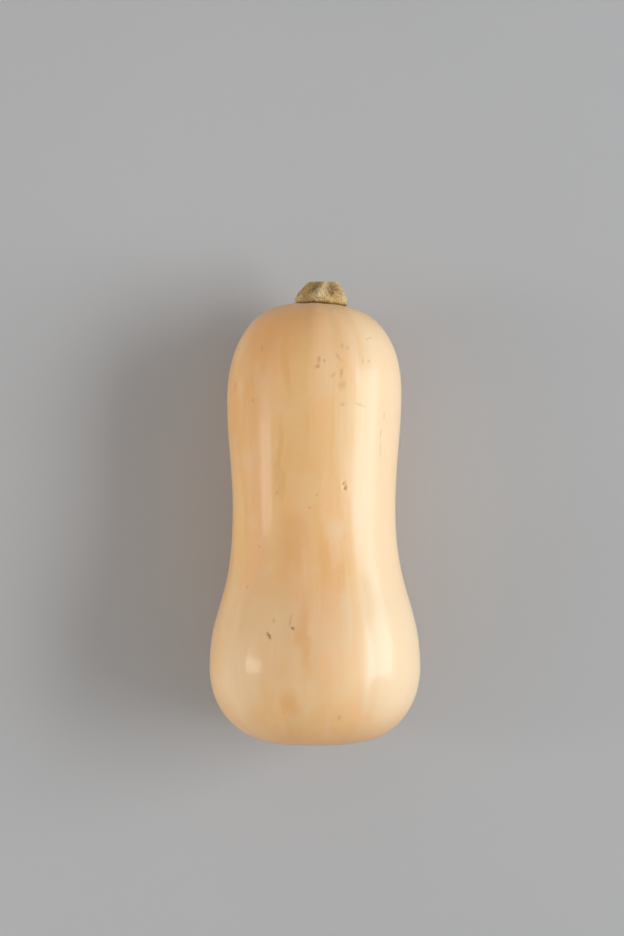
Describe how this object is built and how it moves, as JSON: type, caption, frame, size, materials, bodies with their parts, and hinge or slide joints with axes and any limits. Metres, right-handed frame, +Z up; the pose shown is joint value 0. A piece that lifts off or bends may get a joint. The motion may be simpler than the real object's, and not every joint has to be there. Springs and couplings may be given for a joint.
{
  "type": "butternut squash",
  "caption": "Whole butternut squash lying on its side: a tan, pear-shaped fruit with a long straight neck and a stub of corky, ribbed stalk.",
  "frame": {"origin": "on the surface that the squash rests on, under the middle of its bounding box", "axes": "+Y from the blossom end of the bulb to the stalk, +Z up from the resting surface, +X to the right of a viewer who looks down with the stalk at the top"},
  "size_m": [0.1134, 0.2506, 0.1136],
  "materials": {
    "rind": "satin",
    "stalk_cork": "matte"
  },
  "bodies": {
    "root": {"squash_body": "rind", "stalk": "stalk_cork"}
  },
  "joints": []
}
